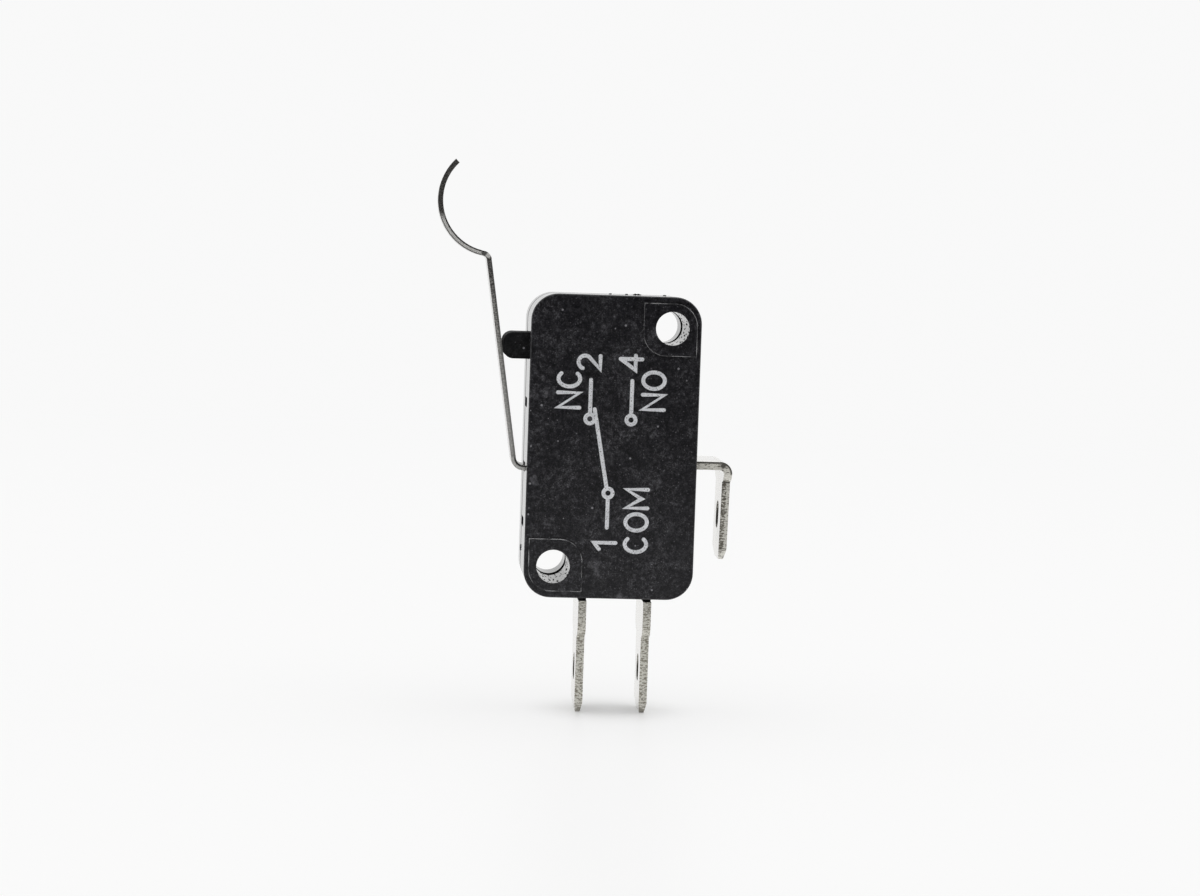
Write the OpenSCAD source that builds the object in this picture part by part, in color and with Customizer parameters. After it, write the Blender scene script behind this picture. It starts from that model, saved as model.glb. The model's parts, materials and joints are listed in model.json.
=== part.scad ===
// Snap-action micro switch with a hinged lever, three push-on tabs and a changeover contact.
// The pieces are drawn lying on the mounting face: x across the body, y along it, z up through its
// thickness. stand() then turns the switch upright, so that the mounting face looks along +Y, the
// plunger along -X and the body's length runs along +Z. The origin is midway between the two
// mounting holes, in the plane of the mounting pads.

/* [Body] */
// Width of the body, plunger side to common side
body_w = 15.7; // [15.5:0.1:16.3]
// Length of the body
body_l = 28.0; // [27.4:0.1:28.6]
// Thickness over the mounting pads
body_t = 10.3; // [9.8:0.1:10.8]
// Radius of the body's four corners
corner_r = 2.5; // [2.0:0.1:2.8]
// Thickness of the cover, mounting face to parting line
cover_t = 3.6; // [3.2:0.1:3.8]
// Wall thickness round the sides
wall = 1.3; // [1.2:0.05:1.4]
// Wall thickness of the two broad faces
face_wall = 1.2; // [1.0:0.05:1.3]
// Bevel along the edges of the broad faces
edge_bevel = 0.1; // [0.05:0.05:0.4]

/* [Mounting] */
// Diameter of the two mounting holes
hole_d = 3.1; // [2.9:0.05:3.2]
// Distance between the holes across the body
hole_span_x = 10.3; // [10.2:0.05:10.4]
// Distance between the holes along the body
hole_span_y = 22.2; // [22.0:0.05:22.3]
// Height of the raised pads round the holes
pad_h = 0.15; // [0.05:0.01:0.25]

/* [Plunger] */
// Position of the plunger along the body, from the middle
plunger_y = 9.05; // [8.9:0.05:9.1]
// Height of the plunger along the body
plunger_h = 2.45; // [2.2:0.05:2.5]
// Width of the plunger through the thickness
plunger_w = 4.5; // [4.0:0.1:4.8]
// How far the plunger stands out of the body at rest
plunger_out = 2.4; // [2.3:0.05:2.5]
// Radius of the plunger's nose
nose_r = 0.95; // [0.8:0.05:1.0]

/* [Lever] */
// Thickness of the lever strip
lever_t = 0.45; // [0.4:0.05:0.5]
// Width of the lever strip
lever_w = 4.0; // [3.8:0.1:5.0]
// Lean of the lever away from the body at rest, in degrees
lever_lean = 8.7; // [8.6:0.1:9.0]
// Position of the lever's hinge along the body, from the middle
hinge_y = -2.3; // [-2.4:0.05:-2.2]
// Radius of the curved tip, at the middle of the strip
tip_r = 4.95; // [4.2:0.05:5.2]
// Distance from the hinge to the centre of the curved tip, along the lever
tip_reach = 25.0; // [23:0.1:27]
// Angle that the curved tip turns through, in degrees
tip_turn = 123; // [110:1:150]

/* [Terminals] */
// Width of a push-on blade
tab_w = 4.75; // [4.7:0.05:6.4]
// Thickness of a blade
tab_t = 0.75; // [0.7:0.05:0.85]
// Width of the wire hole in a blade
tab_hole_w = 1.7; // [1.4:0.1:1.9]
// Length of the wire hole in a blade
tab_hole_l = 2.6; // [2.4:0.1:3.0]
// Position of the normally closed blade across the body
nc_x = -2.2; // [-2.25:0.05:-2.15]
// Position of the normally open blade across the body
no_x = 3.85; // [3.8:0.05:3.9]
// Reach of these two blades below the body
tab_reach = 11.2; // [10.6:0.1:12]
// Height where the common leg leaves the body
com_y = -1.55; // [-1.7:0.05:-1.4]
// Reach of the common blade's outer face from the body
com_reach = 3.5; // [3.4:0.05:4.0]
// Lean of the common blade towards the body, in degrees
com_lean = 1; // [0:0.5:2]

/* [Snap mechanism] */
// Gap between open contacts
contact_gap = 0.9; // [0.85:0.05:0.95]
// Diameter of the fixed contacts
contact_d = 3.0; // [2.6:0.1:3.2]
// Wire thickness of the snap spring
wire_d = 0.3; // [0.25:0.05:0.3]
// Turns of the snap spring
spring_turns = 14; // [11:1:16]

/* [Hidden] */
$fn = 72;
black = "#1d1e20";
soft_black = "#26272a";
nickel = "#c9c8c3";
steel = "#8f9092";
silver = "#e4e2dc";
copper = "#c08a5a";

// Clearances: between moulded pieces, round metal in plastic, and where pieces touch in use, then
// the overrun of a cut and the bulge and overlap at a bend in sheet metal
fit = 0.05;
snug = 0.02;
touch = 0.03;
cut = 0.5;
swell = 0.01;
lap = 0.08;

// Levels through the thickness
mid_z = body_t / 2;
rear_face = pad_h;
front_face = body_t - pad_h;
rear_inner = rear_face + face_wall;
front_inner = front_face - face_wall;

// Edges of the body and of the cavity
side_x = body_w / 2;
end_y = body_l / 2;
inner_x = side_x - wall;
inner_y = end_y - wall;
holes = [[hole_span_x / 2, hole_span_y / 2], [-hole_span_x / 2, -hole_span_y / 2]];
boss_r = 2.5;

// Parting line: fine reveal outside and relief groove in the holes
reveal_h = 0.15;
reveal_d = 0.12;
relief_r = hole_d / 2 + 0.4;
relief_h = 1.5;

// Locating pegs in the two corners without holes
pegs = [[-5.7, 12.0], [5.7, -11.7]];
peg_r = 0.6;
peg_h = 2.2;
post_r = 1.1;

// Latch tongues of the cover in the two end walls
latch_x = 0.7;
latch_w = 2.9;
latch_t = 0.6;
latch_h = 2.2;
barb_h = 0.5;
barb_d = 0.2;

// Slots along the plunger side for levers hung at other heights
spare_slots = [3.73, -7.45];
slot_h = 0.9;
slot_w = 3.6;
slot_depth = 0.9;

// Plunger inside the body
stem_h = 2.0;
flange_t = 1.0;
flange_h = 3.2;
flange_w = 5.8;
stem_end = 0.6;
cheek_in = 1.15;
cheek_t = 0.8;
cheek_r = 0.65;
bar_r = 0.35;
bar_at = [2.1, 7.5];
guide_x = [-3.2, -1.6];
guide_y = 6.3;

// Lever: foot in the wall, bend, straight and tip
hinge_at = [-side_x + 0.85, hinge_y];
ear_r = 0.45;
ear_w = 5.2;
foot_w = 3.4;
foot_drop = 4.3;
foot_bend = 1.0;
tip_offset = 1.13;
tip_bend = 0.6;
tip_flat = 0.3;
block_x = 0.75;
block_h = 2.4;
tip_x = -side_x - plunger_out;
foot_turn = lever_lean - foot_drop;
nose_low = [tip_x + nose_r, plunger_y - plunger_h / 2 + nose_r];
// Distance from the hinge to the middle of the lever, set so that the lever lies on the plunger's nose
face_dist = nose_r + touch
    - (nose_low.x - hinge_at.x) * cos(lever_lean) - (nose_low.y - hinge_at.y) * sin(lever_lean);
lever_dist = face_dist + lever_t / 2;
foot_run = (lever_dist - foot_bend * (1 - sin(foot_turn))) / cos(foot_turn);
foot_top = foot_run * sin(foot_turn) + foot_bend * cos(foot_turn);
tip_span = norm([tip_r + tip_bend, tip_flat]);
tip_drop = sqrt(pow(tip_span, 2) - pow(tip_offset + tip_bend, 2));
tip_swing = atan2(tip_drop, tip_offset + tip_bend) - atan2(tip_flat, tip_r + tip_bend);
lever_run = tip_reach - tip_drop - foot_top;

// Terminals: wide neck outside, narrow waist in the wall, wide plate inside; the lower necks start a
// little way below the wall
neck_w = 7.0;
waist_w = 5.6;
neck_l = 3.9;
neck_drop = 0.45;
tip_bevel = 1.0;
tip_edge = 0.15;
tip_corner = 1.0;
hole_up = 4.1;
plate_top = -5.4;
rib_l = 1.7;
rib_t = 0.85;

// Common terminal inside the body
pivot = [2.2, 4.95];
fork_y = 5.4;
fork_tip = 1.0;
fork_slot = 1.25;
fork_slot_end = 4.2;
com_leg_x = 5.6;
com_in_bend = 0.9;
com_out_bend = 0.75;
com_neck = 0.8;
com_blade = 7.36;
clamp_y = [0.6, 3.6];

// Contacts and contact arm
contact_y = -8.2;
contact_head = 0.9;
shank_d = 1.6;
tail_d = 2.2;
tail_h = 0.3;
crown_r = 5;
arm_t = 0.4;
arm_w = 4.2;
arm_end = -9.8;
arm_knee = -1.2;
arm_bend = 1.5;
window = 1.2;
window_end = -2.15;
tongue_w = 0.6;
tongue_t = 0.5;
tongue_l = 1.1;
lip = 0.2;
nc_face = nc_x + tab_t / 2 + contact_head;
no_face = no_x - tab_t / 2 - contact_head;
moving_head = (no_face - nc_face - contact_gap - touch - arm_t) / 2;
arm_x = nc_face + touch + moving_head + arm_t / 2;
arm_lean = atan2(pivot.x - arm_x, pivot.y - arm_knee);

// Snap spring: from the bar on the plunger to the tongue on the arm
coil_r = 0.8;
wire_sides = 6;
turn_steps = 12;
loop_angle = 300;
loop_steps = 10;
tongue_at = [arm_x - arm_t / 2 - tongue_l / 2, -2.9];
bore_r = coil_r - wire_d / 2;
tongue_seat = sqrt(bore_r * bore_r - tongue_w * tongue_w / 4) - touch;
spring_v = tongue_at - bar_at;
spring_l = sqrt(spring_v * spring_v - coil_r * coil_r);
spring_lean = atan2(-spring_v.x, -spring_v.y) + atan2(coil_r, spring_l);
coil_start = bore_r - bar_r - touch + coil_r;
coil_end = spring_l - tongue_seat - coil_r;

// Limits a distance h each side of c
function about(c, h) = [c - h, c + h];

// Turns the switch from lying on its mounting face to standing on its tabs
module stand() {
    rotate([90, 0, 0]) children();
}

// Box from its corner limits
module block(x, y, z) {
    translate([x[0], y[0], z[0]]) cube([x[1] - x[0], y[1] - y[0], z[1] - z[0]]);
}

// Round bar through the thickness
module rod(at, r, z) {
    translate([at.x, at.y, z[0]]) cylinder(r = r, h = z[1] - z[0]);
}

module rounded_rect(w, l, r) {
    square([w - 2 * r, l], center = true);
    square([w, l - 2 * r], center = true);
    for (sx = [-1, 1], sy = [-1, 1])
        translate([sx * (w / 2 - r), sy * (l / 2 - r)]) circle(r);
}

// Rounded slab whose upper edge is bevelled all the way round
module bevelled_slab(w, l, r, h, b) {
    low = h - b;
    linear_extrude(low) rounded_rect(w, l, r);
    translate([0, 0, low]) {
        rotate([90, 0, 0]) linear_extrude(l - 2 * r, center = true) bevel_section(w, b);
        rotate([90, 0, 90]) linear_extrude(w - 2 * r, center = true) bevel_section(l, b);
        for (sx = [-1, 1], sy = [-1, 1])
            translate([sx * (w / 2 - r), sy * (l / 2 - r), 0]) cylinder(r1 = r, r2 = r - b, h = b);
    }
}

module bevel_section(w, b) {
    polygon([[-w / 2, 0], [w / 2, 0], [w / 2 - b, b], [-w / 2 + b, b]]);
}

// Pad with two rounded corners round the upper hole; the lower one is the same, turned half round
module leaf_pad() {
    outer = 2.3;
    inner = [2.68, 2.55];
    r = 2.1;
    linear_extrude(pad_h) difference() {
        translate(-inner) square(inner + [outer, outer]);
        corner_cut([outer, outer], r);
        rotate(180) corner_cut(inner, r);
    }
}

// What a rounded corner takes off a square one
module corner_cut(at, r) {
    difference() {
        translate(at - [r, r]) square(r + cut);
        translate(at - [r, r]) circle(r);
    }
}

module leaf_pads(z) {
    for (turn = [0, 180]) rotate(turn) translate([holes[0].x, holes[0].y, z]) leaf_pad();
}

// Mounting holes with the relief groove at the parting line
module mounting_bores() {
    for (at = holes) {
        rod(at, hole_d / 2, [-cut, body_t + cut]);
        rod(at, relief_r, [cover_t - relief_h / 2, cover_t + relief_h / 2]);
    }
}

// Openings that both halves share: plunger, lever foot, spare slots and terminals
module wall_openings() {
    out = [-side_x - cut, -inner_x + cut];
    block(out, about(plunger_y, plunger_h / 2 + fit), about(mid_z, plunger_w / 2 + fit));
    block([-side_x - cut, hinge_at.x], about(hinge_y, slot_h / 2), about(mid_z, slot_w / 2));
    rod(hinge_at, ear_r + fit, about(mid_z, ear_w / 2 + fit));
    for (y = spare_slots)
        block([-side_x - cut, -side_x + slot_depth], about(y, slot_h / 2), about(mid_z, slot_w / 2));
    gap = tab_t / 2 + snug;
    width = about(mid_z, waist_w / 2 + snug);
    for (x = [nc_x, no_x]) block(about(x, gap), [-end_y - cut, -inner_y + cut], width);
    block([inner_x - cut, side_x + cut], about(com_y, gap), width);
}

// Places its child at the outer face of each end wall, x across the body and y outwards
module at_ends() {
    translate([latch_x, end_y, 0]) children();
    mirror([0, 1, 0]) translate([latch_x, end_y, 0]) children();
}

// Tongue with a barb near its end: with no clearance it is the end wall's recess
module latch(clear) {
    w = latch_w / 2 - clear;
    top = cover_t + latch_h;
    block([-w, w], [clear - latch_t, 0], [cover_t - cut, top - clear]);
    block([-w, w], [clear - latch_t - barb_d, 0], [top - barb_h + clear, top - clear]);
}

// Front half of the housing: the deep moulding that holds all the pieces
module case() {
    cavity_r = corner_r - wall;
    z = [cover_t, front_inner + cut];
    color(black) stand() difference() {
        union() {
            difference() {
                translate([0, 0, cover_t])
                    bevelled_slab(body_w, body_l, corner_r, front_face - cover_t, edge_bevel);
                translate([0, 0, cover_t - cut]) linear_extrude(front_inner - cover_t + cut)
                    rounded_rect(2 * inner_x, 2 * inner_y, cavity_r);
            }
            for (at = holes) rod(at, boss_r, z);
            for (at = pegs) rod(at, post_r, z);
            leaf_pads(front_face);
            hinge_block(z);
            ribs(z);
        }
        mounting_bores();
        wall_openings();
        at_ends() latch(0);
        for (at = pegs) rod(at, peg_r + fit, [cover_t - cut, cover_t + peg_h + fit]);
    }
}

// Thicker wall round the lever's hinge ears
module hinge_block(z) {
    block([-inner_x - cut, -inner_x + block_x], about(hinge_y, block_h / 2), z);
}

// Ribs on the case floor that guide the plunger and clamp the terminals
module ribs(z) {
    block(guide_x, [plunger_y + stem_h / 2 + fit, inner_y + cut], z);
    block(guide_x, [guide_y, plunger_y - stem_h / 2 - fit], z);
    leg = about(com_leg_x, tab_t / 2 + snug);
    block([leg[0] - rib_t, leg[0]], clamp_y, z);
    block([leg[1], inner_x + cut], clamp_y, z);
    block([com_leg_x - rib_t, inner_x + cut], [fork_y + tab_t / 2 + snug, holes[0].y - boss_r + cut], z);
    foot = [-inner_y - cut, -inner_y + rib_l];
    for (x = [nc_x + tab_t / 2 + snug, no_x - tab_t / 2 - snug - rib_t, no_x + tab_t / 2 + snug])
        block([x, x + rib_t], foot, z);
}

// Rear half of the housing: the cover with its pegs and latch tongues
module cover() {
    body_h = cover_t - reveal_h;
    z = [rear_inner - cut, cover_t];
    lip_w = body_w - 2 * reveal_d;
    lip_l = body_l - 2 * reveal_d;
    color(soft_black) stand() difference() {
        union() {
            difference() {
                union() {
                    translate([0, 0, body_h]) mirror([0, 0, 1])
                        bevelled_slab(body_w, body_l, corner_r, body_h - rear_face, edge_bevel);
                    translate([0, 0, body_h - cut]) linear_extrude(reveal_h + cut)
                        rounded_rect(lip_w, lip_l, corner_r - reveal_d);
                }
                translate([0, 0, rear_inner]) linear_extrude(cover_t)
                    rounded_rect(2 * inner_x, 2 * inner_y, corner_r - wall);
            }
            for (at = holes) rod(at, boss_r, z);
            for (at = pegs) rod(at, post_r, z);
            for (at = pegs) rod(at, peg_r, [rear_inner, cover_t + peg_h]);
            leaf_pads(0);
            hinge_block(z);
            at_ends() latch(fit);
        }
        mounting_bores();
        wall_openings();
    }
}

// Moulded push button with a stop flange, a stem and a fork that carries the spring's bar
module plunger() {
    stop_x = -inner_x + touch;
    half = plunger_h / 2;
    stem = about(mid_z, cheek_in + cheek_t);
    color(soft_black) stand() difference() {
        union() {
            translate([0, plunger_y, mid_z - plunger_w / 2]) linear_extrude(plunger_w) {
                translate([tip_x, -half + nose_r]) square([stop_x - tip_x, plunger_h - 2 * nose_r]);
                translate([tip_x + nose_r, -half]) square([stop_x - tip_x - nose_r, plunger_h]);
                for (s = [-1, 1]) translate([tip_x + nose_r, s * (half - nose_r)]) circle(nose_r);
            }
            block([stop_x, stop_x + flange_t], about(plunger_y, flange_h / 2),
                about(mid_z, flange_w / 2));
            block([stop_x, stem_end], about(plunger_y, stem_h / 2), stem);
            block([-stem_end, bar_at.x], about(bar_at.y, cheek_r), stem);
            rod(bar_at, cheek_r, stem);
        }
        difference() {
            block([stem_end, bar_at.x + 2 * cheek_r], about(bar_at.y, 2 * cheek_r),
                about(mid_z, cheek_in));
            rod(bar_at, bar_r, stem);
        }
    }
}

// Sheet strip along a path. Each step is [straight length, bend radius, turn in degrees, width], the
// radius is that of the middle of the sheet, a positive turn goes left, and children sit at the end.
// A bend is thicker than the sheet by a hair, and the straights run a little way into it.
module strip(steps, t, i = 0) {
    if (i < len(steps)) {
        run = steps[i][0];
        r = steps[i][1];
        turn = steps[i][2];
        w = steps[i][3];
        side = sign(turn);
        start = i > 0 && steps[i - 1][2] != 0 ? -lap : 0;
        stop = turn == 0 ? run : run + lap;
        translate([start, -t / 2, -w / 2]) cube([stop - start, t, w]);
        translate([run, 0, 0]) {
            if (turn != 0)
                translate([0, side * r, -w / 2 - swell]) rotate(turn > 0 ? -90 : 90 + turn)
                    rotate_extrude(angle = abs(turn)) translate([r - t / 2 - swell, 0])
                        square([t + 2 * swell, w + 2 * swell]);
            translate([r * sin(abs(turn)), side * r * (1 - cos(turn)), 0]) rotate(turn)
                strip(steps, t, i + 1) children();
        }
    } else {
        children();
    }
}

// Bent steel strip: hinge ears, narrow foot, straight arm and rounded tip
module lever() {
    heel = foot_drop + 90 - lever_lean;
    color(steel) stand() {
        translate([hinge_at.x, hinge_at.y, mid_z]) {
            cylinder(r = ear_r, h = ear_w, center = true);
            rotate(180 + foot_drop) strip([
                [foot_run, foot_bend, -heel, foot_w],
                [lever_run, tip_bend, tip_swing, lever_w],
                [tip_flat, tip_r, -tip_turn, lever_w]
            ], lever_t);
        }
    }
}

// Push-on blade along x: bevelled tip, cut corners and a wire hole
module blade(length) {
    t = tab_t / 2;
    w = tab_w / 2;
    hole_r = tab_hole_w / 2;
    hole_x = about(length - hole_up, tab_hole_l / 2 - hole_r);
    difference() {
        intersection() {
            linear_extrude(tab_w, center = true) polygon([
                [0, -t], [length - tip_bevel, -t], [length, tip_edge - t],
                [length, t - tip_edge], [length - tip_bevel, t], [0, t]
            ]);
            rotate([90, 0, 0]) linear_extrude(2 * tab_t, center = true) polygon([
                [0, -w], [length - tip_corner, -w], [length, tip_corner - w],
                [length, w - tip_corner], [length - tip_corner, w], [0, w]
            ]);
        }
        block(hole_x, [-tab_t, tab_t], [-hole_r, hole_r]);
        for (x = hole_x)
            translate([x, 0, 0]) rotate([90, 0, 0]) cylinder(r = hole_r, h = 2 * tab_t, center = true);
    }
}

// Neck along x with two rounded shoulders, and the blade that follows it
module necked_blade(neck, length) {
    shoulder = (neck_w - tab_w) / 2;
    rotate([90, 0, 0]) linear_extrude(tab_t, center = true) difference() {
        translate([0, -neck_w / 2]) square([neck, neck_w]);
        for (side = [0, 1]) mirror([0, side]) corner_cut([neck, neck_w / 2], shoulder);
    }
    translate([neck, 0, 0]) blade(length);
}

// Common terminal: fork that the contact arm pivots in, leg, neck through the wall and blade
module com_terminal() {
    leg_y = fork_y - com_y;
    wall_x = side_x - com_leg_x;
    blade_x = side_x + com_reach - tab_t / 2;
    neck = blade_x - side_x - com_out_bend;
    color(nickel) stand() difference() {
        translate([fork_tip, fork_y, mid_z]) strip([
            [com_leg_x - fork_tip - com_in_bend, com_in_bend, -90, neck_w],
            [leg_y - 2 * com_in_bend, com_in_bend, 90, neck_w],
            [wall_x - wall - com_in_bend - snug, 0, 0, neck_w],
            [wall + 2 * snug, 0, 0, waist_w],
            [neck - snug, com_out_bend, -90 - com_lean, neck_w]
        ], tab_t) translate([-lap, 0, 0]) necked_blade(com_neck + lap, com_blade);
        block([fork_tip - cut, fork_slot_end], about(fork_y, tab_t), about(mid_z, fork_slot));
        rod(pivot, arm_t / 2 + touch, [0, body_t]);
    }
}

// Fixed terminal: blade and neck below the wall, plate with a riveted contact above it
module fixed_terminal(x) {
    wall_out = -end_y - neck_drop;
    wall_in = -inner_y + snug;
    color(nickel) stand() difference() {
        translate([x, 0, mid_z]) {
            block(about(0, tab_t / 2), [wall_in, plate_top], about(0, neck_w / 2));
            block(about(0, tab_t / 2), [wall_out, wall_in], about(0, waist_w / 2));
            translate([0, wall_out, 0]) rotate(-90)
                necked_blade(neck_l - neck_drop, tab_reach - neck_l);
        }
        translate([x, contact_y, mid_z]) rotate([0, 90, 0])
            cylinder(d = shank_d + 2 * snug, h = 2 * tab_t, center = true);
    }
}

module no_terminal() {
    fixed_terminal(no_x);
}

module nc_terminal() {
    fixed_terminal(nc_x);
}

// Domed contact head that stands along z
module contact_dome(d, h) {
    intersection() {
        cylinder(d = d, h = h);
        translate([0, 0, h - crown_r]) sphere(crown_r);
    }
}

// Fixed contact rivet: dome on one side of the plate and set tail on the other
module fixed_contact(x, side) {
    color(silver) stand() translate([x, contact_y, mid_z]) rotate([0, side * 90, 0]) {
        translate([0, 0, tab_t / 2 + snug]) contact_dome(contact_d, contact_head - snug);
        cylinder(d = shank_d, h = tab_t + 2 * snug, center = true);
        translate([0, 0, -tab_t / 2 - snug - tail_h]) cylinder(d = tail_d, h = tail_h);
    }
}

module no_contact() {
    fixed_contact(no_x, -1);
}

module nc_contact() {
    fixed_contact(nc_x, 1);
}

// Sprung changeover blade: two rails that rock in the fork, a lanced tongue and the contact's seat
module contact_arm() {
    rail = (pivot.y - arm_knee) / cos(arm_lean) - arm_bend * tan(arm_lean / 2);
    tail = arm_knee - arm_end - arm_bend * tan(arm_lean / 2);
    tongue_x = [arm_x - arm_t / 2 - tongue_l, arm_x];
    tongue = about(mid_z, tongue_w / 2);
    color(copper) stand() {
        difference() {
            union() {
                rod(pivot, arm_t / 2 + swell, about(mid_z, arm_w / 2));
                translate([pivot.x, pivot.y, mid_z]) rotate(-90 - arm_lean)
                    strip([[rail, arm_bend, arm_lean, arm_w], [tail, 0, 0, arm_w]], arm_t);
            }
            block(about(pivot.x, 4), [window_end, pivot.y + cut], about(mid_z, window));
            translate([arm_x, contact_y, mid_z]) rotate([0, 90, 0])
                cylinder(d = shank_d + 2 * snug, h = 2 * arm_t, center = true);
        }
        block(tongue_x, [tongue_at.y, tongue_at.y + tongue_t], tongue);
        block([tongue_x[0], tongue_x[0] + lip], [tongue_at.y - lip, tongue_at.y + tongue_t], tongue);
    }
}

// Double-headed contact through the end of the arm
module moving_contact() {
    seat = arm_t / 2 + snug;
    color(silver) stand() translate([arm_x, contact_y, mid_z]) rotate([0, 90, 0]) {
        cylinder(d = shank_d, h = 2 * seat, center = true);
        for (side = [0, 180]) rotate([0, side, 0])
            translate([0, 0, seat]) contact_dome(contact_d - 0.2, moving_head - snug);
    }
}

// Point of the spring wire's middle line in [across, through, along], then its outward direction
function loop_at_bar(a) =
    [[-coil_r * sin(a), coil_r, coil_start - coil_r * (1 - cos(a))], [0, 1, 0]];
function coil(a, s) = [[coil_r * cos(a), coil_r * sin(a), s], [cos(a), sin(a), 0]];
function loop_at_tongue(a) =
    [[coil_r, coil_r * sin(a), coil_end + coil_r * (1 - cos(a))], [1, 0, 0]];

// Tension spring: loop round the bar, coil, and loop round the tongue, swept as one wire
module snap_spring() {
    sweep_angle = 360 * spring_turns - 90;
    coil_steps = spring_turns * turn_steps;
    path = concat(
        [for (i = [0 : loop_steps - 1]) loop_at_bar(-loop_angle * (1 - i / loop_steps))],
        [for (i = [0 : coil_steps])
            coil(90 + sweep_angle * i / coil_steps, coil_start + (coil_end - coil_start) * i / coil_steps)],
        [for (i = [1 : loop_steps]) loop_at_tongue(loop_angle * i / loop_steps)]
    );
    last = len(path) - 1;
    n = wire_sides;
    points = [for (i = [0 : last]) let (
            along = path[min(i + 1, last)][0] - path[max(i - 1, 0)][0],
            out = path[i][1],
            side = cross(along, out) / norm(cross(along, out))
        ) for (k = [0 : n - 1])
            path[i][0] + wire_d / 2 * (cos(360 * k / n) * out + sin(360 * k / n) * side)];
    faces = concat(
        [[for (k = [0 : n - 1]) k]],
        [for (i = [0 : last - 1], k = [0 : n - 1]) let (a = i * n, b = a + n, m = (k + 1) % n)
            each [[a + k, b + k, b + m], [a + k, b + m, a + m]]],
        [[for (k = [n - 1 : -1 : 0]) last * n + k]]
    );
    color(steel) stand() translate([bar_at.x, bar_at.y, mid_z]) rotate(-spring_lean)
        rotate([90, 0, 0]) polyhedron(points, faces);
}

case();
cover();
plunger();
lever();
com_terminal();
no_terminal();
nc_terminal();
no_contact();
nc_contact();
contact_arm();
moving_contact();
snap_spring();
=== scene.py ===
import json
import math

import bpy
import numpy as np
from mathutils import Matrix, Vector


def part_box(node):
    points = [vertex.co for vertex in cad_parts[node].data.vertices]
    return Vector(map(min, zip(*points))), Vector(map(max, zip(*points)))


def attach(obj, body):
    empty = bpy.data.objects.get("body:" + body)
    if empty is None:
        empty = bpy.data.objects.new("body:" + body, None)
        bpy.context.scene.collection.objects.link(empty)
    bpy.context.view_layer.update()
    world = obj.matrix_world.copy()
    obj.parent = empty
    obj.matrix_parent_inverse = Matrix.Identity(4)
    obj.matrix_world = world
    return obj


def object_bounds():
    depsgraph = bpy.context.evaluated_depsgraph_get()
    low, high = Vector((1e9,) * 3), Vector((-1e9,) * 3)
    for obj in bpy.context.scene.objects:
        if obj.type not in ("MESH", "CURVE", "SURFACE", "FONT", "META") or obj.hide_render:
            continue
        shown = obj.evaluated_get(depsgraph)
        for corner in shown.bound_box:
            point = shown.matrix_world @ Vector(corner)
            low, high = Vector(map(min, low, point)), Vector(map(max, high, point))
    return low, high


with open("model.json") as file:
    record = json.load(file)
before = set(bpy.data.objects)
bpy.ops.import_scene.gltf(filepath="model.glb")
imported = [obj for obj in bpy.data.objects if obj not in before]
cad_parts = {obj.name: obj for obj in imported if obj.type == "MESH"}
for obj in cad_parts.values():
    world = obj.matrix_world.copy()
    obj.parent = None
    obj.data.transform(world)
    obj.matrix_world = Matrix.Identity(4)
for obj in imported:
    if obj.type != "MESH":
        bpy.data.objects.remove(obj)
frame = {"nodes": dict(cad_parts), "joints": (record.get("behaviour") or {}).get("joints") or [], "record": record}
cad_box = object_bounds()

# Case: the deep front half of the housing, a black glass-filled thermoset pressed in a sparked steel
# mould. The skin is satin, with dust in its grain and faint rubs from handling. Its edges are faintly
# rubbed pale, and round the raised pads they are painted pale as the highlight that the edges catch.

MM = 0.001


def join(tree, socket, value):
    """Links an input to a node's output, or sets it to a plain value."""
    if isinstance(value, bpy.types.NodeSocket):
        tree.links.new(value, socket)
    else:
        socket.default_value = value


def put(tree, kind, feeds=None, **settings):
    """Adds a shader node, sets its properties, and sets or links its inputs, named or numbered."""
    node = tree.nodes.new("ShaderNode" + kind)
    for name, value in settings.items():
        setattr(node, name, value)
    for key, value in (feeds or {}).items():
        join(tree, node.inputs[key], value)
    return node


def sums(tree, operation, *values):
    """One arithmetic operation on a value, or on the first of several and each of the others in turn."""
    result = put(tree, "Math", dict(enumerate(values[:2])), operation=operation).outputs[0]
    for value in values[2:]:
        result = put(tree, "Math", {0: result, 1: value}, operation=operation).outputs[0]
    return result


def product(tree, *values):
    """Product of two or more values."""
    return sums(tree, "MULTIPLY", *values)


def total(tree, *values):
    """Sum of two or more values."""
    return sums(tree, "ADD", *values)


def largest(tree, *values):
    """Largest of two or more values, which lays masks together."""
    return sums(tree, "MAXIMUM", *values)


def off(tree, value, level):
    """Distance of a value from a level, to either side."""
    return sums(tree, "ABSOLUTE", sums(tree, "SUBTRACT", value, level))


def ramp(tree, value, low, high, start=0.0, end=1.0):
    """Smooth step from start to end while value goes from low to high."""
    feeds = {"Value": value, "From Min": low, "From Max": high, "To Min": start, "To Max": end}
    return put(tree, "MapRange", feeds, interpolation_type="SMOOTHSTEP").outputs["Result"]


def between(tree, share, base, over):
    """Value that goes from base to over as share goes from 0 to 1."""
    return put(tree, "Mix", {0: share, 2: base, 3: over}).outputs[0]


def tint(tree, share, base, over):
    """Colour that goes from base to over as share goes from 0 to 1."""
    return put(tree, "Mix", {0: share, 6: base, 7: over}, data_type="RGBA").outputs[2]


def shade(tree, colour, factor):
    """Colour made darker or brighter by a factor."""
    return put(tree, "VectorMath", {0: colour, 1: factor}, operation="MULTIPLY").outputs[0]


def noise(tree, place, scale, detail=2.0, rough=0.5):
    """Value noise at that many features per unit of place."""
    feeds = {"Vector": place, "Scale": scale, "Detail": detail, "Roughness": rough}
    return put(tree, "TexNoise", feeds).outputs[0]


def stretch(tree, place, scale):
    """The same place with each axis scaled by its own factor."""
    return put(tree, "Mapping", {"Vector": place, "Scale": scale}).outputs[0]


def split(tree, place):
    """X, Y and Z of a place."""
    return put(tree, "SeparateXYZ", {0: place}).outputs


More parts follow.
